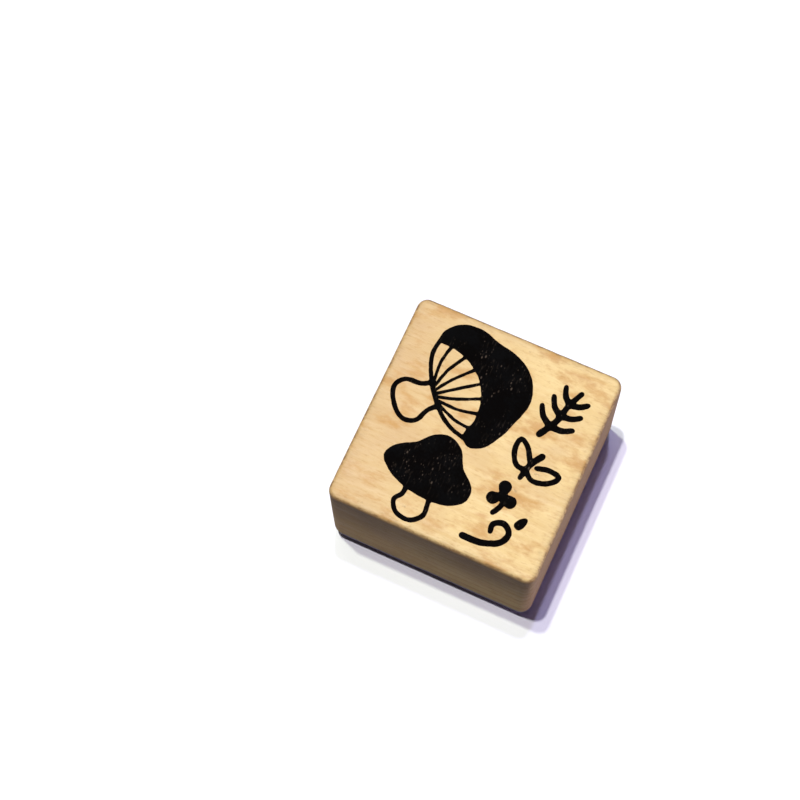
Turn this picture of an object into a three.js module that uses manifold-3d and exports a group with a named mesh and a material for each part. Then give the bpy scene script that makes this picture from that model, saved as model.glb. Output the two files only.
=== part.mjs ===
// A wood-mounted rubber stamp, built from its pieces: a hardwood block with an index picture
// printed on top, and under it a foam cushion and a moulded rubber die, held by two adhesive
// films. Millimetres, +Z up. The origin is the middle of the footprint, on the surface that the
// printing face stands on; +X is the right of the picture and -Y is the side nearest the user.

import * as THREE from 'three';
import { mergeVertices } from 'three/addons/utils/BufferGeometryUtils.js';
import Module from 'manifold-3d';

const wasm = await Module();
wasm.setup();

// ---------------------------------------------------------------- driving dimensions

const blockWidth = 40;
const blockDepth = 41.4;
const blockHeight = 24;
const blockCornerRadius = 2.1;
const blockEdgeEasing = 0.5;
const smallestCornerRadius = 0.2;

const dieInset = 0.3;
const dieCornerRadius = 1.8;
const webThickness = 0.7;
const reliefDepth = 0.8;

const foamThickness = 1.3;
const adhesiveThickness = 0.1;
const adhesiveInset = 0.4;

const inkThickness = 0.1;
const outlineStroke = 0.9;
const gillStroke = 0.6;
const rimStroke = 0.8;
const brushStroke = 1.25;
const lightBrushStroke = 1.0;
const bluntBrushStroke = 2.5;
const pictureMargin = 1.8;

// ---------------------------------------------------------------- sizes that follow

const dieWidth = blockWidth - 2 * dieInset;
const dieDepth = blockDepth - 2 * dieInset;
const webBottom = reliefDepth;
const dieTop = webBottom + webThickness;
const foamBottom = dieTop + adhesiveThickness;
const foamTop = foamBottom + foamThickness;
const blockBottom = foamTop + adhesiveThickness;
const blockTop = blockBottom + blockHeight;

// The picture is drawn on a panel of this size and scaled, as a whole, to the die it is cut in.
const drawnPanel = { width: 35.8, depth: 37.2 };
const pictureScale = Math.min(
  (dieWidth - 2 * pictureMargin) / drawnPanel.width,
  (dieDepth - 2 * pictureMargin) / drawnPanel.depth,
);

// ---------------------------------------------------------------- outlines

const vec = (x, y) => new THREE.Vector2(x, y);

// A rectangle with round corners, centred on the origin.
function roundedRectangle(width, depth, radius) {
  const x = width / 2 - radius;
  const y = depth / 2 - radius;
  const quarter = Math.PI / 2;
  const shape = new THREE.Shape();
  shape.absarc(x, y, radius, 0, quarter);
  shape.absarc(-x, y, radius, quarter, 2 * quarter);
  shape.absarc(-x, -y, radius, 2 * quarter, 3 * quarter);
  shape.absarc(x, -y, radius, 3 * quarter, 4 * quarter);
  shape.closePath();
  return shape;
}

// Places drawn points: turned about the motif's own origin, then moved to its place on the panel.
function placed(points, motif) {
  const turn = THREE.MathUtils.degToRad(motif.turn);
  return points.map(([x, y]) => vec(x, y)
    .rotateAround(vec(0, 0), turn)
    .add(vec(...motif.at))
    .multiplyScalar(pictureScale));
}

// A closed blob whose edge runs smoothly through the points.
function blob(points, motif, steps = 3) {
  const corners = placed(points, motif).map((p) => new THREE.Vector3(p.x, p.y, 0));
  const curve = new THREE.CatmullRomCurve3(corners, true, 'centripetal');
  const edge = curve.getPoints(points.length * steps).slice(0, -1);
  return new THREE.Shape(edge.map((p) => vec(p.x, p.y)));
}

// A brush line through the points, with round ends. endWidth narrows it along its length.
function brush(points, motif, width, { steps = 3, endWidth = width, capSteps = 4 } = {}) {
  const corners = placed(points, motif).map((p) => new THREE.Vector3(p.x, p.y, 0));
  const curve = new THREE.CatmullRomCurve3(corners, false, 'centripetal');
  const count = (points.length - 1) * steps;
  const left = [];
  const right = [];
  const ends = [];
  for (let i = 0; i <= count; i += 1) {
    const along = i / count;
    const point = curve.getPoint(along);
    const heading = curve.getTangent(along);
    const half = THREE.MathUtils.lerp(width, endWidth, along) / 2;
    left.push(vec(point.x - heading.y * half, point.y + heading.x * half));
    right.push(vec(point.x + heading.y * half, point.y - heading.x * half));
    if (i === 0 || i === count) ends.push({ point, angle: Math.atan2(heading.y, heading.x), half });
  }
  const cap = ({ point, angle, half }, from) => {
    const arc = [];
    for (let k = 1; k < capSteps; k += 1) {
      const a = angle + from + (Math.PI * k) / capSteps;
      arc.push(vec(point.x + half * Math.cos(a), point.y + half * Math.sin(a)));
    }
    return arc;
  };
  const start = cap(ends[0], Math.PI / 2);
  const finish = cap(ends[1], -Math.PI / 2);
  return new THREE.Shape([...right, ...finish, ...left.reverse(), ...start]);
}

// ---------------------------------------------------------------- solids

// The closed prism of an outline, as a solid that can be joined.
function prism(shape, bottom, height) {
  const settings = { depth: height, bevelEnabled: false, curveSegments: 8 };
  const geometry = new THREE.ExtrudeGeometry(shape, settings);
  geometry.translate(0, 0, bottom);
  return toSolid(geometry);
}

function toSolid(geometry) {
  const bare = geometry.clone();
  bare.deleteAttribute('normal');
  bare.deleteAttribute('uv');
  const merged = mergeVertices(bare, 1e-5);
  return new wasm.Manifold(new wasm.Mesh({
    numProp: 3,
    vertProperties: new Float32Array(merged.attributes.position.array),
    triVerts: new Uint32Array(merged.index.array),
  }));
}

function toGeometry(solid) {
  const mesh = solid.getMesh();
  const geometry = new THREE.BufferGeometry();
  geometry.setAttribute('position', new THREE.BufferAttribute(mesh.vertProperties, 3));
  geometry.setIndex(new THREE.BufferAttribute(mesh.triVerts, 1));
  geometry.computeVertexNormals();
  return geometry;
}

const joined = (solids) => solids.reduce((whole, solid) => whole.add(solid));

function part(name, geometry, { color, roughness }) {
  const material = new THREE.MeshStandardMaterial({ color, roughness, metalness: 0 });
  const mesh = new THREE.Mesh(geometry, material);
  mesh.name = name;
  return mesh;
}

// ---------------------------------------------------------------- the picture

// A toadstool that leans over: a domed cap, the gills under it and an outlined bulbous stem.
function largeMushroom() {
  const motif = { at: [-5.1, 8.1], turn: -53 };
  const cap = [
    [-11.2, -2.0], [-11.8, 1.5], [-10.0, 4.9], [-6.6, 7.4], [-3.4, 10.1], [1.0, 11.4], [5.5, 10.1],
    [8.4, 6.6], [10.6, 3.2], [11.8, -0.2], [11.0, -2.8], [8.5, -3.0], [6.6, -0.6], [3.4, 1.4],
    [-0.6, 2.1], [-4.6, 1.1], [-7.7, -1.0], [-9.4, -3.0],
  ];
  const rim = [[-10.4, -2.2], [-7.6, -4.9], [-2.8, -6.2], [2.4, -6.2], [6.6, -5.0], [9.8, -2.6]];
  const stem = [
    [-2.2, -6.2], [-2.4, -8.2], [-3.9, -10.6], [-3.2, -12.9], [-0.2, -13.7], [3.2, -12.9],
    [4.1, -10.6], [2.7, -8.2], [2.4, -6.2],
  ];
  const gillCount = 7;
  const gills = [];
  for (let i = 0; i < gillCount; i += 1) {
    const side = (2 * i) / (gillCount - 1) - 1;
    const outer = [8.2 * side, 1.9 - 2.9 * side * side];
    const inner = [2.0 * side, -6.0];
    const middle = [(outer[0] + inner[0]) / 2 + 0.6 * side, (outer[1] + inner[1]) / 2 - 0.3];
    gills.push(brush([outer, middle, inner], motif, gillStroke, { steps: 2, capSteps: 3 }));
  }
  return [
    blob(cap, motif),
    brush(rim, motif, rimStroke),
    brush(stem, motif, outlineStroke),
    ...gills,
  ];
}

// A smaller toadstool that stands upright, with a bell-shaped cap.
function smallMushroom() {
  const motif = { at: [-4.9, -8.6], turn: -8 };
  const cap = [
    [-8.6, -2.2], [-7.5, 0.7], [-4.8, 2.8], [-2.9, 5.6], [-0.2, 6.9], [2.8, 5.8], [4.8, 3.0],
    [7.7, 1.1], [8.5, -1.6], [6.2, -4.2], [1.2, -5.4], [-5.0, -4.7],
  ];
  const stem = [
    [-2.0, -4.8], [-1.8, -6.6], [-2.6, -8.2], [-1.0, -10.0], [1.8, -10.0], [3.4, -8.0],
    [3.1, -6.3], [2.6, -4.6],
  ];
  return [blob(cap, motif), brush(stem, motif, outlineStroke)];
}

// A frond: one curved spine with pairs of short leaflets.
function frond() {
  const motif = { at: [11.9, 9.9], turn: -18 };
  const pairs = 3;
  const spacing = 2.7;
  const spine = [[-0.4, -5.2], [0.3, -1.2], [0, 2.2], [0.3, 5.6]];
  const strokes = [brush(spine, motif, brushStroke, { endWidth: lightBrushStroke })];
  for (let i = 0; i < pairs; i += 1) {
    const foot = -2.8 + i * spacing;
    const reach = 3.6 - 0.5 * i;
    for (const side of [-1, 1]) {
      const leaflet = [[0, foot], [0.6 * side * reach, foot + 0.7], [side * reach, foot + 2.1]];
      strokes.push(brush(leaflet, motif, brushStroke, { steps: 2, endWidth: lightBrushStroke }));
    }
  }
  return strokes;
}

// Two outlined leaves on one stalk.
function leafPair() {
  const motif = { at: [10.9, -1.2], turn: -24 };
  const stalk = [[0, 3.0], [-0.3, 0.4], [0.2, -2.6]];
  const strokes = [brush(stalk, motif, brushStroke, { endWidth: lightBrushStroke })];
  for (const side of [-1, 1]) {
    const leaf = [
      [0, -0.9], [1.9 * side, -1.5], [4.3 * side, 0.3], [4.9 * side, 2.5], [2.7 * side, 2.1],
      [0.9 * side, 0.7],
    ];
    strokes.push(brush(leaf, motif, lightBrushStroke));
  }
  return strokes;
}

// Three round leaves on a short stalk.
function trefoil() {
  const motif = { at: [8.6, -8.0], turn: 8 };
  const reach = 1.7;
  const strokes = [brush([[0, 0.2], [0.3, -1.6], [-0.9, -3.4]], motif, lightBrushStroke)];
  for (const heading of [90, 205, 335]) {
    const turn = THREE.MathUtils.degToRad(heading);
    const tip = [reach * Math.cos(turn), reach * Math.sin(turn)];
    strokes.push(brush([[0, 0], tip], motif, lightBrushStroke,
      { steps: 1, endWidth: bluntBrushStroke, capSteps: 7 }));
  }
  return strokes;
}

// A climbing tendril that ends in a curl.
function tendril() {
  const motif = { at: [9.4, -14.4], turn: 0 };
  const curl = [
    [-4.4, -3.0], [-1.0, -2.9], [2.2, -1.5], [3.0, 0.6], [1.5, 1.9], [-0.3, 1.1], [-0.2, -0.4],
  ];
  return [brush(curl, motif, brushStroke, { endWidth: lightBrushStroke })];
}

// A bud beside the tendril.
function bud() {
  const motif = { at: [13.6, -11.3], turn: -28 };
  return [blob([[0, 1.5], [-0.8, 0.3], [-0.6, -1.2], [0.6, -1.2], [0.8, 0.3]], motif, 3)];
}

const picture = {
  large_mushroom: largeMushroom(),
  small_mushroom: smallMushroom(),
  frond: frond(),
  leaf_pair: leafPair(),
  trefoil: trefoil(),
  tendril: tendril(),
  bud: bud(),
};

// ---------------------------------------------------------------- the pieces

// The block: square-cut hardwood with sanded corners and eased top and bottom edges.
function woodBlock() {
  const inner = roundedRectangle(
    blockWidth - 2 * blockEdgeEasing,
    blockDepth - 2 * blockEdgeEasing,
    Math.max(blockCornerRadius - blockEdgeEasing, smallestCornerRadius),
  );
  const geometry = new THREE.ExtrudeGeometry(inner, {
    depth: blockHeight - 2 * blockEdgeEasing,
    bevelThickness: blockEdgeEasing,
    bevelSize: blockEdgeEasing,
    bevelSegments: 3,
    curveSegments: 6,
  });
  geometry.translate(0, 0, blockBottom + blockEdgeEasing);
  return part('wood_block', toGeometry(toSolid(geometry)), { color: 0xe9cb94, roughness: 0.55 });
}

// A flat layer of the same outline as the die, set in from its edge.
function layer(name, inset, bottom, thickness, finish) {
  const outline = roundedRectangle(dieWidth - 2 * inset, dieDepth - 2 * inset, dieCornerRadius - inset);
  return part(name, toGeometry(prism(outline, bottom, thickness)), finish);
}

// The die: a thin web with the picture standing out below it, moulded as one piece of rubber.
function rubberDie() {
  const rootDepth = webThickness / 2;
  const web = prism(roundedRectangle(dieWidth, dieDepth, dieCornerRadius), webBottom, webThickness);
  const raised = Object.values(picture).flat()
    .map((shape) => prism(shape, 0, reliefDepth + rootDepth));
  return part('rubber_die', toGeometry(joined([web, ...raised])), { color: 0xa296ae, roughness: 0.6 });
}

// The ink: one film for each island of the picture, flat on the block's top face.
function inkFilms() {
  return Object.entries(picture).map(([name, shapes]) => {
    const film = joined(shapes.map((shape) => prism(shape, blockTop, inkThickness)));
    return part(`ink_${name}`, toGeometry(film), { color: 0x0c0705, roughness: 0.5 });
  });
}

const adhesive = { color: 0xd9d6cc, roughness: 0.4 };
const foam = { color: 0xc4bfcd, roughness: 0.9 };

const stamp = new THREE.Group();
stamp.add(
  woodBlock(),
  layer('block_adhesive', adhesiveInset, foamTop, adhesiveThickness, adhesive),
  layer('foam_cushion', 0, foamBottom, foamThickness, foam),
  layer('die_adhesive', adhesiveInset, dieTop, adhesiveThickness, adhesive),
  rubberDie(),
  ...inkFilms(),
);

export default stamp;
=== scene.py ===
"""Looks of a wood-mounted rubber stamp: sanded hardwood block, printed index picture,
foam cushion and moulded rubber die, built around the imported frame. Metres, +Z up."""

import math

import bmesh
import bpy
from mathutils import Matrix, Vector, noise


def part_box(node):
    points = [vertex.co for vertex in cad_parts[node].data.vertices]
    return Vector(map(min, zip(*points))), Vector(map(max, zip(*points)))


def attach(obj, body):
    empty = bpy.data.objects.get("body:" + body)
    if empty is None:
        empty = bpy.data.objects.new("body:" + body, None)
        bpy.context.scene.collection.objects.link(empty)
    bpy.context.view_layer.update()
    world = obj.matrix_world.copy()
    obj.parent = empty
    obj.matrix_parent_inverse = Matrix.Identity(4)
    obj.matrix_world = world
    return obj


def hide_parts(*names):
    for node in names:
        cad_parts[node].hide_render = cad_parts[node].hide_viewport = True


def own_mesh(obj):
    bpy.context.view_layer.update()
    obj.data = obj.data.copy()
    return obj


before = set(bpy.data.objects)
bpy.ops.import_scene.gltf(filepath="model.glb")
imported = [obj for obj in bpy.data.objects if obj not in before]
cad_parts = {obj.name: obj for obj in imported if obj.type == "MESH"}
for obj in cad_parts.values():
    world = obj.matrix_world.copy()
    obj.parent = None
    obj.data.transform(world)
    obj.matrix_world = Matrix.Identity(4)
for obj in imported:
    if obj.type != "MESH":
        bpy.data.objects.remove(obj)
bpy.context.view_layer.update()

MM = 0.001
TAU = 2 * math.pi

# ------------------------------------------------------------------ sizes

CORNER_RADIUS = 2.1 * MM        # upright corners of the block
EDGE_EASE = 0.80 * MM           # sanded top and bottom edges
EDGE_DENT = 0.16 * MM           # deepest nick in a sanded edge
SIDE_WAVE = 0.03 * MM           # how far the sawn sides wander

PRINT_STEP = 0.2 * MM           # spacing of points along a printed outline
PRINT_WOBBLE = 0.065 * MM       # how far a printed edge wanders
PRINT_FRAY = 0.03 * MM          # fine raggedness of a printed edge
PRINT_EDGE = 0.13 * MM          # width of the thin rim of the ink

DIE_CUT_WAVE = 0.12 * MM        # hand-trimmed edge of the rubber
FOAM_CELL = 0.34 * MM           # size of the foam's cells
FOAM_CELL_DEPTH = 0.07 * MM
FOAM_BULGE = 0.12 * MM
FOAM_CORNER = 1.7 * MM

TABLE_HALF = 1500 * MM
SENSOR_WIDTH_MM = 36
NEAREST_SEEN = 10 * MM

RING_WIDTH_MM = 2.1             # one year's growth
HEART_PLACE = (0, -30, 38)      # the tree's heart, in millimetres from the origin
SIDE_SHADE_DROP_MM = 20            # how far down the sides the painted shade darkens the wood
BLOCK_TOP_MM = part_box("wood_block")[1].z / MM
INK_NODES = sorted(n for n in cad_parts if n.startswith("ink_"))


# ------------------------------------------------------------------ mesh helpers

def smooth(edge_low, edge_high, value):
    t = min(max((value - edge_low) / (edge_high - edge_low), 0.0), 1.0)
    return t * t * (3 - 2 * t)


def drift(point, scale, seed):
    """Smooth noise from -1 to 1, with features about scale across."""
    return noise.noise(Vector(point) / scale + Vector((seed, 7.3 * seed, -3.1 * seed)))


def new_piece(name, bm, material):
    mesh = bpy.data.meshes.new(name)
    bm.to_mesh(mesh)
    bm.free()
    for face in mesh.polygons:
        face.use_smooth = True
    mesh.materials.append(material)
    piece = bpy.data.objects.new(name, mesh)
    bpy.context.scene.collection.objects.link(piece)
    return piece


def rounded_outline(half_x, half_y, radius, step):
    """Points and outward directions round a rectangle with round corners, anticlockwise."""
    points = []
    corners = [(1, 1, 0), (-1, 1, 1), (-1, -1, 2), (1, -1, 3)]
    arc_steps = max(6, round(radius * TAU / 4 / step))
    for k, (sx, sy, quarter) in enumerate(corners):
        middle = Vector((sx * (half_x - radius), sy * (half_y - radius)))
        for i in range(arc_steps + 1):
            angle = TAU / 4 * (quarter + i / arc_steps)
            out = Vector((math.cos(angle), math.sin(angle)))
            points.append((middle + radius * out, out))
        sx2, sy2, quarter2 = corners[(k + 1) % 4]
        after = Vector((sx2 * (half_x - radius), sy2 * (half_y - radius)))
        out = Vector((math.cos(TAU / 4 * quarter2), math.sin(TAU / 4 * quarter2)))
        start, finish = middle + radius * out, after + radius * out
        count = round((finish - start).length / step)
        points += [(start.lerp(finish, i / count), out) for i in range(1, count)]
    return points


def bridge(bm, lower, upper):
    """A band of quads between two rings with the same number of vertices."""
    count = len(lower)
    for i in range(count):
        j = (i + 1) % count
        bm.faces.new((lower[i], lower[j], upper[j], upper[i]))


def fan(bm, ring, centre, up):
    """Closes a ring with triangles to a middle point."""
    hub = bm.verts.new(centre)
    count = len(ring)
    for i in range(count):
        j = (i + 1) % count
        corners = (ring[i], ring[j], hub) if up else (ring[j], ring[i], hub)
        bm.faces.new(corners)


# ------------------------------------------------------------------ printed outlines

def cap_loops(node):
    """The outlines of a CAD node's flat top, as closed lists of 2-D points, solid on the left."""
    bm = bmesh.new()
    bm.from_mesh(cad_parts[node].data)
    bmesh.ops.remove_doubles(bm, verts=bm.verts, dist=1e-6)
    top = max(v.co.z for v in bm.verts)
    cap = {f for f in bm.faces if min(v.co.z for v in f.verts) > top - 1e-6}
    after = {}
    for face in cap:
        for corner in face.loops:
            if sum(f in cap for f in corner.edge.link_faces) == 1:
                after[corner.vert] = corner.link_loop_next.vert
    loops = []
    while after:
        start, vert = next(iter(after.items()))
        loop = [start.co.xy.copy()]
        del after[start]
        while vert != start:
            loop.append(vert.co.xy.copy())
            vert = after.pop(vert)
        loops.append(loop)
    bm.free()
    return loops


def soften(loop, step, passes):
    """The loop with even spacing and its facets smoothed away."""
    ends = list(zip(loop, loop[1:] + loop[:1]))
    lengths = [(b - a).length for a, b in ends]
    count = max(8, round(sum(lengths) / step))
    pitch = sum(lengths) / count
    points = []
    k, walked = 0, 0.0
    for i in range(count):
        target = i * pitch
        while walked + lengths[k] < target:
            walked += lengths[k]
            k += 1
        a, b = ends[k]
        points.append(a.lerp(b, (target - walked) / lengths[k]))
    for _ in range(passes):
        points = [(points[i - 1] + 2 * p + points[(i + 1) % count]) / 4 for i, p in enumerate(points)]
    return points


def outward(points):
    """The direction out of the solid at each point of a loop with the solid on its left."""
    count = len(points)
    sides = []
    for i in range(count):
        along = points[(i + 1) % count] - points[i - 1]
        along.normalize()
        sides.append(Vector((along.y, -along.x)))
    return sides


def ragged(points, amount, scale, seed):
    """The loop with its edge wandering in and out, as a printed or cut edge does."""
    return [p + out * amount * drift((p.x, p.y, 0), scale, seed)
            for p, out in zip(points, outward(points))]


def printed_loops(node):
    loops = [soften(loop, PRINT_STEP, 3) for loop in cap_loops(node)]
    loops = [ragged(loop, PRINT_WOBBLE, 1.3 * MM, 3.0) for loop in loops]
    return [ragged(loop, PRINT_FRAY, 0.4 * MM, 6.0) for loop in loops]


def ring(bm, points, sides, offset, z):
    return [bm.verts.new((*(p + out * offset), z)) for p, out in zip(points, sides)]


def fill(bm, rings, up):
    """Closes the area between nested rings with triangles that face up or down."""
    edges = []
    for verts in rings:
        for a, b in zip(verts, verts[1:] + verts[:1]):
            edges.append(bm.edges.get((a, b)) or bm.edges.new((a, b)))
    made = bmesh.ops.triangle_fill(bm, use_beauty=True, edges=edges, normal=(0, 0, 1 if up else -1))
    faces = [g for g in made["geom"] if isinstance(g, bmesh.types.BMFace)]
    wrong = [f for f in faces if (f.normal.z > 0) != up]
    bmesh.ops.reverse_faces(bm, faces=wrong)
    return faces


# ------------------------------------------------------------------ node helpers

def add(tree, kind, inputs=None, **settings):
    """A node with its settings, and each input set to a value or linked from a socket."""
    made = tree.nodes.new(kind)
    for name, value in settings.items():
        setattr(made, name, value)
    for name, value in (inputs or {}).items():
        socket = made.inputs[name]
        if isinstance(value, bpy.types.NodeSocket):
            tree.links.new(value, socket)
        else:
            socket.default_value = value
    return made


def maths(tree, operation, a, b=0.0, clamp=False):
    return add(tree, "ShaderNodeMath", {0: a, 1: b}, operation=operation, use_clamp=clamp).outputs[0]


def spread(tree, value, low, high, to_low=0.0, to_high=1.0):
    """Maps low..high to to_low..to_high, held at both ends."""
    made = add(tree, "ShaderNodeMapRange", {
        "Value": value, "From Min": low, "From Max": high, "To Min": to_low, "To Max": to_high,
    }, interpolation_type="SMOOTHSTEP")
    return made.outputs["Result"]


def mix(tree, factor, a, b):
    made = add(tree, "ShaderNodeMix", data_type="RGBA")
    for index, value in ((0, factor), (6, a), (7, b)):
        socket = made.inputs[index]
        if isinstance(value, bpy.types.NodeSocket):
            tree.links.new(value, socket)
        elif index == 0:
            socket.default_value = value
        else:
            socket.default_value = (*value, 1.0)
    return made.outputs[2]


def millimetres(tree, stretch=(1, 1, 1), place=(0, 0, 0)):
    """Object coordinates in millimetres, stretched and moved."""
    coords = add(tree, "ShaderNodeTexCoord")
    scale = tuple(s / MM for s in stretch)
    made = add(tree, "ShaderNodeMapping", {
        "Vector": coords.outputs["Object"], "Scale": scale, "Location": place,
    })
    return made.outputs["Vector"]


def noise_value(tree, vector, scale, detail=2.0, roughness=0.5):
    return add(tree, "ShaderNodeTexNoise", {
        "Vector": vector, "Scale": scale, "Detail": detail, "Roughness": roughness,
    }).outputs["Fac"]


def new_group(name, inputs, outputs):
    group = bpy.data.node_groups.new(name, "ShaderNodeTree")
    for label, kind, value in inputs:
        socket = group.interface.new_socket(label, in_out="INPUT", socket_type=kind)
        if value is not None:
            socket.default_value = value
    for label, kind in outputs:
        group.interface.new_socket(label, in_out="OUTPUT", socket_type=kind)
    return group, group.nodes.new("NodeGroupInput"), group.nodes.new("NodeGroupOutput")


def speckle_group():
    """Scattered specks: Mask is 1 in a speck. Amount is the share of cells that hold one."""
    group, given, result = new_group("specks", [
        ("Vector", "NodeSocketVector", None),
        ("Scale", "NodeSocketFloat", 1.0),
        ("Amount", "NodeSocketFloat", 0.3),
        ("Size", "NodeSocketFloat", 0.3),
    ], [("Mask", "NodeSocketFloat")])
    cells = add(group, "ShaderNodeTexVoronoi", {
        "Vector": given.outputs["Vector"], "Scale": given.outputs["Scale"],
    })
    pick = add(group, "ShaderNodeSeparateColor", {"Color": cells.outputs["Color"]})
    chosen = maths(group, "LESS_THAN", pick.outputs[0], given.outputs["Amount"])
    size = maths(group, "MULTIPLY", given.outputs["Size"], spread(group, pick.outputs[1], 0, 1, 0.4, 1.0))
    inside = maths(group, "SUBTRACT", size, cells.outputs["Distance"])
    soft = maths(group, "DIVIDE", inside, maths(group, "MULTIPLY", size, 0.5), clamp=True)
    group.links.new(maths(group, "MULTIPLY", soft, chosen), result.inputs["Mask"])
    return group


def mottle_group():
    """Soft cloudy variation from 0 to 1, broad and fine together."""
    group, given, result = new_group("mottle", [
        ("Vector", "NodeSocketVector", None),
        ("Scale", "NodeSocketFloat", 0.2),
        ("Fine", "NodeSocketFloat", 0.3),
    ], [("Value", "NodeSocketFloat")])
    broad = add(group, "ShaderNodeTexNoise", {
        "Vector": given.outputs["Vector"], "Scale": given.outputs["Scale"], "Detail": 3.0,
    }).outputs["Fac"]
    fine_scale = maths(group, "MULTIPLY", given.outputs["Scale"], 9.0)
    fine = add(group, "ShaderNodeTexNoise", {
        "Vector": given.outputs["Vector"], "Scale": fine_scale, "Detail": 2.0,
    }).outputs["Fac"]
    both = add(group, "ShaderNodeMix", {0: given.outputs["Fine"], 2: broad, 3: fine})
    group.links.new(spread(group, both.outputs[0], 0.32, 0.68), result.inputs["Value"])
    return group


SPECKS = speckle_group()
MOTTLE = mottle_group()


def specks(tree, vector, scale, amount, size):
    made = add(tree, "ShaderNodeGroup", node_tree=SPECKS)
    tree.links.new(vector, made.inputs["Vector"])
    for name, value in (("Scale", scale), ("Amount", amount), ("Size", size)):
        made.inputs[name].default_value = value
    return made.outputs["Mask"]


def mottle(tree, vector, scale, fine=0.3):
    made = add(tree, "ShaderNodeGroup", node_tree=MOTTLE)
    tree.links.new(vector, made.inputs["Vector"])
    made.inputs["Scale"].default_value = scale
    made.inputs["Fine"].default_value = fine
    return made.outputs["Value"]


def attribute(tree, name):
    return add(tree, "ShaderNodeAttribute", attribute_name=name).outputs["Fac"]


def new_material(name, specular=0.5):
    material = bpy.data.materials.new(name)
    material.use_nodes = True
    tree = material.node_tree
    shader = tree.nodes["Principled BSDF"]
    shader.inputs["Specular IOR Level"].default_value = specular
    return material, tree, shader


def connect(tree, shader, color=None, roughness=None, height=None, depth=0.05 * MM, strength=1.0):
    if color is not None:
        tree.links.new(color, shader.inputs["Base Color"])
    if roughness is not None:
        tree.links.new(roughness, shader.inputs["Roughness"])
    if height is not None:
        bump = add(tree, "ShaderNodeBump", {"Height": height, "Distance": depth, "Strength": strength})
        tree.links.new(bump.outputs["Normal"], shader.inputs["Normal"])


# ------------------------------------------------------------------ materials

PALE_WOOD = (0.86, 0.64, 0.275)
WARM_WOOD = (0.70, 0.46, 0.165)
PINK_WOOD = (0.65, 0.42, 0.185)
STAIN_WOOD = (0.62, 0.345, 0.10)
PORE_WOOD = (0.54, 0.29, 0.09)
FLECK_WOOD = (0.27, 0.13, 0.045)
SIDE_SHADE_WOOD = (0.22, 0.125, 0.055)
EDGE_WEAR_AND_SHADE = (0.30, 0.165, 0.06)
GRIME = (0.17, 0.105, 0.055)


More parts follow.
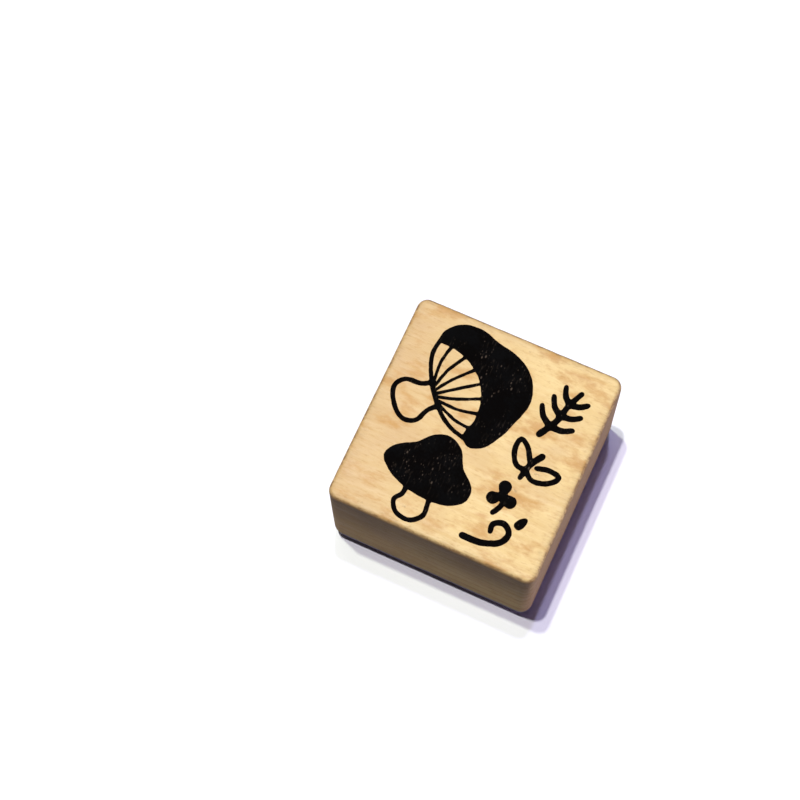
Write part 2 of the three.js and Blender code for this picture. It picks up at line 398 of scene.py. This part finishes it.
def wood_material():
    """Pale close-grained hardwood, grain along X, with the heart of the tree below and behind."""
    material, tree, shader = new_material("sanded_hardwood", specular=0.35)
    place = millimetres(tree)
    along = millimetres(tree, stretch=(0.06, 1, 1))
    part = add(tree, "ShaderNodeSeparateXYZ", {"Vector": place}).outputs
    upward = attribute(tree, "top_face")
    end_grain = attribute(tree, "end_face")
    side = maths(tree, "SUBTRACT", 1.0, upward)

    heart = add(tree, "ShaderNodeVectorMath", {
        0: millimetres(tree, stretch=(0.03, 1, 1), place=HEART_PLACE),
    }, operation="LENGTH").outputs["Value"]
    wander = noise_value(tree, along, 0.07, 1.0)
    waver = noise_value(tree, along, 0.6, 1.0)
    bend = maths(tree, "ADD", maths(tree, "MULTIPLY", wander, 7.0), maths(tree, "MULTIPLY", waver, 0.5))
    turn = maths(tree, "FRACT", maths(tree, "DIVIDE", maths(tree, "ADD", heart, bend), RING_WIDTH_MM))
    late_wood = maths(tree, "MULTIPLY", spread(tree, turn, 0.45, 0.92), spread(tree, turn, 1.0, 0.94))
    ring_depth = spread(tree, upward, 0, 1, 0.62, 0.26)

    broad = mottle(tree, place, 0.11, 0.22)
    streaks = mottle(tree, along, 1.5, 0.5)
    figure = maths(tree, "ADD", maths(tree, "MULTIPLY", late_wood, ring_depth),
                   maths(tree, "MULTIPLY", streaks, 0.26))
    color = mix(tree, maths(tree, "ADD", figure, maths(tree, "MULTIPLY", broad, 0.24), clamp=True),
                PALE_WOOD, WARM_WOOD)

    cloud = noise_value(tree, millimetres(tree, place=(11, 3, 0)), 0.09, 3.0)
    sap = maths(tree, "MULTIPLY", spread(tree, part["X"], 8, -20), 0.62)
    pinkness = maths(tree, "ADD", spread(tree, cloud, 0.46, 0.72, 0, 0.5), sap, clamp=True)
    color = mix(tree, pinkness, color, PINK_WOOD)
    blotch = noise_value(tree, millimetres(tree, stretch=(0.5, 1, 1), place=(4, 9, 2)), 0.30, 5.0, 0.62)
    stain = maths(tree, "MULTIPLY", spread(tree, blotch, 0.47, 0.69, 0, 1.0),
                  spread(tree, upward, 0, 1, 0.3, 1.0))
    color = mix(tree, stain, color, STAIN_WOOD)

    pores = noise_value(tree, millimetres(tree, stretch=(0.22, 1, 1)), 2.6, 4.0, 0.7)
    open_pores = noise_value(tree, place, 5.5, 2.0, 0.6)
    pore_mask = maths(tree, "MAXIMUM", spread(tree, pores, 0.52, 0.72, 0, 0.45),
                      maths(tree, "MULTIPLY", end_grain, spread(tree, open_pores, 0.56, 0.70, 0, 0.6)))
    color = mix(tree, pore_mask, color, PORE_WOOD)
    bent = add(tree, "ShaderNodeVectorMath", {
        0: millimetres(tree, stretch=(0.5, 1, 1)),
        1: add(tree, "ShaderNodeTexNoise", {"Vector": place, "Scale": 1.3}).outputs["Color"],
    }, operation="ADD").outputs["Vector"]
    clusters = spread(tree, noise_value(tree, millimetres(tree, place=(7, 1, 5)), 0.13, 1.0), 0.46, 0.62)
    flecks = maths(tree, "MULTIPLY", specks(tree, bent, 0.75, 0.28, 0.24), clusters)
    color = mix(tree, maths(tree, "MULTIPLY", flecks, 0.42), color, FLECK_WOOD)

    # Painted shade: the long-grain sides are darkened towards their top edge.
    reach = spread(tree, part["Z"], BLOCK_TOP_MM - SIDE_SHADE_DROP_MM, BLOCK_TOP_MM - 1)
    upper_side_shade = maths(tree, "MULTIPLY", reach, maths(tree, "SUBTRACT", side, end_grain, clamp=True))
    upper_side_shade = maths(tree, "MULTIPLY", upper_side_shade, spread(tree, broad, 0, 1, 0.74, 0.88))
    color = mix(tree, upper_side_shade, color, SIDE_SHADE_WOOD)
    # Partly painted shade, partly edge wear: a ragged darker line on the rounded top edges, where they
    # turn away from the light.
    nibbles = noise_value(tree, place, 0.9, 4.0, 0.65)
    line = maths(tree, "MULTIPLY", attribute(tree, "crest"), spread(tree, nibbles, 0.44, 0.60, 0.12, 0.85))
    color = mix(tree, line, color, EDGE_WEAR_AND_SHADE)
    rub = maths(tree, "MULTIPLY", attribute(tree, "wear"), spread(tree, pores, 0.34, 0.62, 0.35, 1.0))
    color = mix(tree, maths(tree, "MULTIPLY", rub, 0.8), color, GRIME)

    roughness = spread(tree, maths(tree, "ADD", streaks, pore_mask), 0, 1.3, 0.46, 0.68)
    saw = noise_value(tree, millimetres(tree, stretch=(1, 1, 0.05)), 3.2, 2.0, 0.6)
    marks = maths(tree, "MULTIPLY", side, maths(tree, "MULTIPLY", saw, 0.8))
    relief = maths(tree, "SUBTRACT", maths(tree, "MULTIPLY", streaks, 0.4), pores)
    connect(tree, shader, color, roughness, maths(tree, "ADD", relief, marks), 0.05 * MM, 0.6)
    return material


def ink_material():
    """Near-black ink with a thin brown rim and paler specks where it skipped the wood's pores."""
    material, tree, shader = new_material("printed_ink", specular=0.02)
    place = millimetres(tree)
    cloud = mottle(tree, place, 0.35, 0.45)
    color = mix(tree, cloud, (0.0006, 0.0005, 0.0005), (0.0018, 0.0012, 0.0009))
    patches = spread(tree, noise_value(tree, millimetres(tree, place=(2, 8, 0)), 0.22, 1.0), 0.42, 0.58)
    skips = specks(tree, millimetres(tree, stretch=(1, 0.55, 1)), 1.5, 0.42, 0.30)
    fine = specks(tree, millimetres(tree, stretch=(1, 0.6, 1), place=(3, 5, 0)), 2.6, 0.40, 0.34)
    drawn_out = noise_value(tree, millimetres(tree, stretch=(1, 0.25, 1)), 2.4, 2.0)
    thin = spread(tree, drawn_out, 0.56, 0.74, 0, 0.22)
    both = maths(tree, "MAXIMUM", maths(tree, "MAXIMUM", skips, maths(tree, "MULTIPLY", fine, 0.6)), thin)
    color = mix(tree, maths(tree, "MULTIPLY", maths(tree, "MULTIPLY", both, patches), 0.45), color,
                (0.15, 0.11, 0.075))
    color = mix(tree, maths(tree, "MULTIPLY", attribute(tree, "rim"), 0.7), color, (0.022, 0.0075, 0.003))
    roughness = spread(tree, cloud, 0, 1, 0.55, 0.75)
    connect(tree, shader, color, roughness, cloud, 0.02 * MM, 0.4)
    return material


def foam_material():
    """Fine closed-cell foam, pale lilac grey."""
    material, tree, shader = new_material("cell_foam", specular=0.2)
    place = millimetres(tree)
    cells = add(tree, "ShaderNodeTexVoronoi", {"Vector": place, "Scale": 3.6}).outputs["Distance"]
    walls = spread(tree, cells, 0.05, 0.55)
    cloud = mottle(tree, place, 0.4)
    # Painted shade: the cell hollows are coloured darker than the walls between them.
    color = mix(tree, walls, (0.40, 0.37, 0.47), (0.60, 0.57, 0.66))
    color = mix(tree, maths(tree, "MULTIPLY", cloud, 0.35), color, (0.50, 0.47, 0.57))
    roughness = spread(tree, walls, 0, 1, 0.95, 0.82)
    connect(tree, shader, color, roughness, walls, 0.06 * MM, 0.7)
    return material


def rubber_material():
    """Moulded lilac-grey rubber, flecked with pale dust and stained with ink on its printing face."""
    material, tree, shader = new_material("moulded_rubber", specular=0.4)
    place = millimetres(tree)
    cloud = mottle(tree, place, 0.3, 0.4)
    color = mix(tree, cloud, (0.32, 0.27, 0.38), (0.42, 0.36, 0.48))
    dust = specks(tree, place, 1.3, 0.35, 0.22)
    color = mix(tree, maths(tree, "MULTIPLY", dust, 0.35), color, (0.60, 0.57, 0.64))
    height_mm = add(tree, "ShaderNodeSeparateXYZ", {"Vector": place}).outputs["Z"]
    face = spread(tree, height_mm, 0.10, 0.45, 1, 0)
    inked = maths(tree, "MULTIPLY", face, spread(tree, cloud, 0.1, 0.8, 0.96, 0.72))
    color = mix(tree, inked, color, (0.020, 0.010, 0.009))
    roughness = spread(tree, cloud, 0, 1, 0.48, 0.66)
    grain = noise_value(tree, place, 6.0, 3.0)
    connect(tree, shader, color, roughness, grain, 0.03 * MM, 0.45)
    return material


def adhesive_material():
    """Milky double-sided film."""
    material, tree, shader = new_material("adhesive_film", specular=0.45)
    cloud = mottle(tree, millimetres(tree), 0.5, 0.5)
    color = mix(tree, cloud, (0.72, 0.69, 0.62), (0.82, 0.80, 0.75))
    connect(tree, shader, color, spread(tree, cloud, 0, 1, 0.28, 0.46), cloud, 0.02 * MM, 0.4)
    return material


# ------------------------------------------------------------------ the block

def edge_closeness(point, middle, half):
    """1 on the block's edges, falling to 0 a few millimetres away."""
    gaps = sorted(half[k] - abs(point[k] - middle[k]) for k in range(3))
    return math.exp(-(gaps[0] + gaps[1]) / (0.75 * MM))


def wood_block(material):
    low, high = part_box("wood_block")
    middle, half = (low + high) / 2, (high - low) / 2
    outline = rounded_outline(half.x, half.y, CORNER_RADIUS, 0.4 * MM)
    shares = [0.06, 0.25, 0.5, 0.72, 0.86, 0.93, 0.965, 0.985]
    edge_steps, side_steps = 5, 26
    bm = bmesh.new()

    def level(inset, z, share=1.0):
        return [bm.verts.new((*((p - out * inset) * share), z)) for p, out in outline]

    rows = [level(EDGE_EASE, low.z, s) for s in shares]
    for k in range(edge_steps + 1):
        a = TAU / 4 * k / edge_steps
        rows.append(level(EDGE_EASE * (1 - math.sin(a)), low.z + EDGE_EASE * (1 - math.cos(a))))
    for k in range(1, side_steps):
        rows.append(level(0, middle.z - (half.z - EDGE_EASE) * math.cos(TAU / 2 * k / side_steps)))
    for k in range(edge_steps, -1, -1):
        a = TAU / 4 * k / edge_steps
        rows.append(level(EDGE_EASE * (1 - math.sin(a)), high.z - EDGE_EASE * (1 - math.cos(a))))
    rows += [level(EDGE_EASE, high.z, s) for s in reversed(shares)]
    for lower, upper in zip(rows, rows[1:]):
        bridge(bm, lower, upper)
    fan(bm, rows[0], (0, 0, low.z), up=False)
    fan(bm, rows[-1], (0, 0, high.z), up=True)
    bm.normal_update()

    wear = bm.verts.layers.float.new("wear")
    top_face = bm.verts.layers.float.new("top_face")
    end_face = bm.verts.layers.float.new("end_face")
    crest = bm.verts.layers.float.new("crest")
    for vert in bm.verts:
        near = edge_closeness(vert.co, middle, half)
        nick = smooth(0.12, 0.55, drift(vert.co, 1.7 * MM, 1.0))
        chip = smooth(0.30, 0.60, drift(vert.co, 0.7 * MM, 5.0))
        flat = smooth(0.9, 0.99, abs(vert.normal.z))
        wave = SIDE_WAVE * drift(vert.co, 9 * MM, 2.0) * (1 - flat) * (1 - near)
        dent = EDGE_DENT * near * (0.25 + 0.45 * nick + 0.3 * chip) * (1 - flat)
        vert[wear] = near * (0.55 + 0.45 * nick)
        vert[top_face] = smooth(0.5, 0.9, vert.normal.z)
        vert[end_face] = smooth(0.5, 0.9, abs(vert.normal.x))
        vert[crest] = smooth(0.1, 0.5, vert.normal.z) * smooth(0.995, 0.8, vert.normal.z)
        vert.co += vert.normal * (wave - SIDE_WAVE * (1 - flat) - dent)
    return new_piece("block_of_wood", bm, material)


# ------------------------------------------------------------------ ink, rubber and foam

def ink_film(node, material):
    """One island of the printed picture: a thin film with a slightly raised, ragged rim."""
    low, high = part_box(node)
    bm = bmesh.new()
    rim = bm.verts.layers.float.new("rim")
    feet, tops = [], []
    for loop in printed_loops(node):
        sides = outward(loop)
        foot = ring(bm, loop, sides, 0, low.z)
        shoulder = ring(bm, loop, sides, 0, low.z + 0.65 * (high.z - low.z))
        crest = ring(bm, loop, sides, -0.35 * PRINT_EDGE, high.z)
        inner = ring(bm, loop, sides, -PRINT_EDGE, high.z - 0.012 * MM)
        for vert in foot + shoulder + crest:
            vert[rim] = 1.0
        for lower, upper in ((foot, shoulder), (shoulder, crest), (crest, inner)):
            bridge(bm, lower, upper)
        feet.append(foot)
        tops.append(inner)
    fill(bm, feet, up=False)
    fill(bm, tops, up=True)
    return new_piece(node.replace("ink_", "printed_"), bm, material)


def moulded_die(material):
    """Web and raised picture in one closed skin, with rounded shoulders and filleted roots."""
    low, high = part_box("rubber_die")
    web_low = min(v.co.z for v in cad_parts["rubber_die"].data.vertices if v.co.z > low.z + 0.3 * MM)
    cut = ragged(soften(cap_loops("rubber_die")[0], 0.5 * MM, 2), DIE_CUT_WAVE, 6 * MM, 8.0)
    cut = ragged(cut, 0.3 * DIE_CUT_WAVE, 1.2 * MM, 4.0)
    cut_sides = outward(cut)
    bm = bmesh.new()
    floor_rings = []
    web_levels = [(-0.30, web_low), (-0.19, web_low + 0.04 * MM), (-0.14, web_low + 0.2 * MM),
                  (-0.16, high.z - 0.1 * MM), (-0.22, high.z)]
    web_rings = [ring(bm, cut, cut_sides, inset * MM, z) for inset, z in web_levels]
    for lower, upper in zip(web_rings, web_rings[1:]):
        bridge(bm, lower, upper)
    fill(bm, [web_rings[-1]], up=True)
    floor_rings.append(web_rings[0])
    faces = []
    relief = web_low - low.z
    profile = [(0.10, 1.0), (0.05, 0.93), (0.02, 0.80), (0.0, 0.10), (-0.02, 0.03), (-0.06, 0.0)]
    for node in INK_NODES:
        for loop in printed_loops(node):
            sides = outward(loop)
            rings = [ring(bm, loop, sides, out * MM, low.z + relief * share) for out, share in profile]
            for upper, lower in zip(rings, rings[1:]):
                bridge(bm, lower, upper)
            floor_rings.append(rings[0])
            faces.append(rings[-1])
    fill(bm, floor_rings, up=False)
    fill(bm, faces, up=False)
    return new_piece("die_of_rubber", bm, material)


def foam_slab():
    """A plain slab with fine rows on its sides, for the cell tree to work on."""
    low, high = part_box("foam_cushion")
    half = (high - low) / 2
    outline = rounded_outline(half.x - FOAM_BULGE, half.y - FOAM_BULGE, FOAM_CORNER, 0.16 * MM)
    rows_up = 14
    bm = bmesh.new()
    rows = []
    for k in range(rows_up + 1):
        share = k / rows_up
        swell = FOAM_BULGE * math.sin(math.pi * share)
        z = low.z + (high.z - low.z) * share
        rows.append([bm.verts.new((*(p + out * swell), z)) for p, out in outline])
    for lower, upper in zip(rows, rows[1:]):
        bridge(bm, lower, upper)
    fan(bm, rows[0], (0, 0, low.z), up=False)
    fan(bm, rows[-1], (0, 0, high.z), up=True)
    return bm, low.z, high.z


def foam_cell_tree(material):
    """Geometry Nodes: sinks a half-cell into the cut sides of a foam slab at each Voronoi cell."""
    tree = bpy.data.node_groups.new("foam_cells", "GeometryNodeTree")
    face = tree.interface
    face.new_socket("Geometry", in_out="INPUT", socket_type="NodeSocketGeometry")
    face.new_socket("Cell Size", in_out="INPUT", socket_type="NodeSocketFloat")
    face.new_socket("Cell Depth", in_out="INPUT", socket_type="NodeSocketFloat")
    face.new_socket("Bottom", in_out="INPUT", socket_type="NodeSocketFloat")
    face.new_socket("Top", in_out="INPUT", socket_type="NodeSocketFloat")
    face.new_socket("Geometry", in_out="OUTPUT", socket_type="NodeSocketGeometry")
    given, result = tree.nodes.new("NodeGroupInput"), tree.nodes.new("NodeGroupOutput")
    here = add(tree, "GeometryNodeInputPosition").outputs[0]
    scale = maths(tree, "DIVIDE", 1.0, given.outputs["Cell Size"])
    cells = add(tree, "ShaderNodeTexVoronoi", {"Vector": here, "Scale": scale}).outputs["Distance"]
    hollow = maths(tree, "SUBTRACT", 1.0, maths(tree, "MULTIPLY", cells, 1.7), clamp=True)
    z = add(tree, "ShaderNodeSeparateXYZ", {"Vector": here}).outputs["Z"]
    from_bottom = maths(tree, "SUBTRACT", z, given.outputs["Bottom"])
    from_top = maths(tree, "SUBTRACT", given.outputs["Top"], z)
    edge = maths(tree, "MINIMUM", from_bottom, from_top)
    band = add(tree, "ShaderNodeMapRange", {
        "Value": edge, "From Min": 0.0, "From Max": 0.25 * MM,
    }).outputs[0]
    sink = maths(tree, "MULTIPLY", maths(tree, "MULTIPLY", hollow, band), given.outputs["Cell Depth"])
    normal = add(tree, "GeometryNodeInputNormal").outputs[0]
    shift = add(tree, "ShaderNodeVectorMath", {0: normal, "Scale": maths(tree, "MULTIPLY", sink, -1.0)},
                operation="SCALE").outputs[0]
    moved = add(tree, "GeometryNodeSetPosition", {"Geometry": given.outputs["Geometry"], "Offset": shift})
    real = add(tree, "GeometryNodeRealizeInstances", {"Geometry": moved.outputs["Geometry"]})
    coated = add(tree, "GeometryNodeSetMaterial", {"Geometry": real.outputs["Geometry"]})
    coated.inputs["Material"].default_value = material
    tree.links.new(coated.outputs["Geometry"], result.inputs["Geometry"])
    return tree


def baked(piece, tree, values):
    """The piece as a plain mesh, with the tree's modifier run once and gone."""
    modifier = piece.modifiers.new("rule", "NODES")
    modifier.node_group = tree
    for item in tree.interface.items_tree:
        if item.item_type == "SOCKET" and item.in_out == "INPUT" and item.name in values:
            modifier[item.identifier] = values[item.name]
    bpy.context.view_layer.update()
    evaluated = piece.evaluated_get(bpy.context.evaluated_depsgraph_get())
    mesh = bpy.data.meshes.new_from_object(evaluated)
    piece.modifiers.remove(modifier)
    piece.data = mesh
    return piece


def foam_cushion(material):
    bm, bottom, top = foam_slab()
    piece = new_piece("cushion_of_foam", bm, material)
    return baked(piece, foam_cell_tree(material), {
        "Cell Size": FOAM_CELL, "Cell Depth": FOAM_CELL_DEPTH, "Bottom": bottom, "Top": top,
    })


# ------------------------------------------------------------------ building

block = wood_block(wood_material())
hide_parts("wood_block")
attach(block, "block")

ink = ink_material()
for node in INK_NODES:
    film = ink_film(node, ink)
    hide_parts(node)
    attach(film, "block")

die = moulded_die(rubber_material())
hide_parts("rubber_die")
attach(die, "die")

foam = foam_cushion(foam_material())
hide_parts("foam_cushion")
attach(foam, "block")
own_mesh(foam)

film = adhesive_material()
for node in ("block_adhesive", "die_adhesive"):
    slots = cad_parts[node].data.materials
    slots.clear()
    slots.append(film)


# ------------------------------------------------------------------ stage, light, camera

def floor():
    """A plain white table. It throws back little light, so the block's shaded sides stay deep."""
    material, tree, shader = new_material("table_white", specular=0.1)
    shader.inputs["Roughness"].default_value = 0.9
    seen = add(tree, "ShaderNodeLightPath").outputs["Is Camera Ray"]
    tree.links.new(mix(tree, seen, (0.30, 0.29, 0.29), (0.93, 0.93, 0.93)), shader.inputs["Base Color"])
    half = TABLE_HALF
    mesh = bpy.data.meshes.new("table")
    corners = [(-half, -half, 0), (half, -half, 0), (half, half, 0), (-half, half, 0)]
    mesh.from_pydata(corners, [], [(0, 1, 2, 3)])
    mesh.materials.append(material)
    table = bpy.data.objects.new("table", mesh)
    bpy.context.scene.collection.objects.link(table)


def lamp(name, travel_direction, strength, color, spread_deg):
    """A distant lamp whose light travels along the given direction."""
    data = bpy.data.lights.new(name, "SUN")
    data.energy = strength
    data.color = color
    data.angle = math.radians(spread_deg)
    made = bpy.data.objects.new(name, data)
    made.rotation_euler = Vector(travel_direction).to_track_quat("-Z", "Y").to_euler()
    bpy.context.scene.collection.objects.link(made)


def lights():
    """Three lamps almost overhead, a soft fill from behind and a weak violet glow from the right."""
    fall = -28.5
    lamp("lamp_left", (4.8, -1.7, fall), 1.36, (0.92, 1.0, 0.82), 1.6)
    lamp("lamp_middle", (3.3, 0.3, fall), 1.72, (0.94, 0.91, 1.0), 1.4)
    lamp("lamp_back", (1.6, -4.4, fall), 0.86, (0.58, 0.56, 1.0), 1.8)
    lamp("fill_back", (9, -12, -9), 0.45, (1.0, 0.98, 0.95), 40)
    lamp("glow_right", (-22, -3, -2.5), 0.85, (0.60, 0.43, 1.0), 16)
    world = bpy.data.worlds.new("studio")
    world.use_nodes = True
    tree = world.node_tree
    back = tree.nodes["Background"]
    seen = add(tree, "ShaderNodeLightPath").outputs["Is Camera Ray"]
    tree.links.new(mix(tree, seen, (0.022, 0.018, 0.026), (1.0, 1.0, 1.0)), back.inputs["Color"])
    bpy.context.scene.world = world


CAMERA_AIM = Vector((-16.83, 3.84, 16.5)) * MM
CAMERA_DISTANCE = 367.7 * MM
CAMERA_AZIMUTH = -27.40
CAMERA_ELEVATION = 71.51
CAMERA_ROLL = -2.85
CAMERA_LENS = 89.9


def camera():
    data = bpy.data.cameras.new("camera")
    data.lens = CAMERA_LENS
    data.sensor_width = SENSOR_WIDTH_MM
    data.clip_start = NEAREST_SEEN
    made = bpy.data.objects.new("camera", data)
    azimuth, elevation = math.radians(CAMERA_AZIMUTH), math.radians(CAMERA_ELEVATION)
    look = Vector((math.sin(azimuth) * math.cos(elevation), math.cos(azimuth) * math.cos(elevation),
                   -math.sin(elevation)))
    made.rotation_euler = look.to_track_quat("-Z", "Y").to_euler()
    made.rotation_euler.rotate_axis("Z", math.radians(CAMERA_ROLL))
    made.location = CAMERA_AIM - look * CAMERA_DISTANCE
    bpy.context.scene.collection.objects.link(made)
    bpy.context.scene.camera = made


floor()
lights()
camera()
bpy.context.scene.view_settings.view_transform = "Standard"
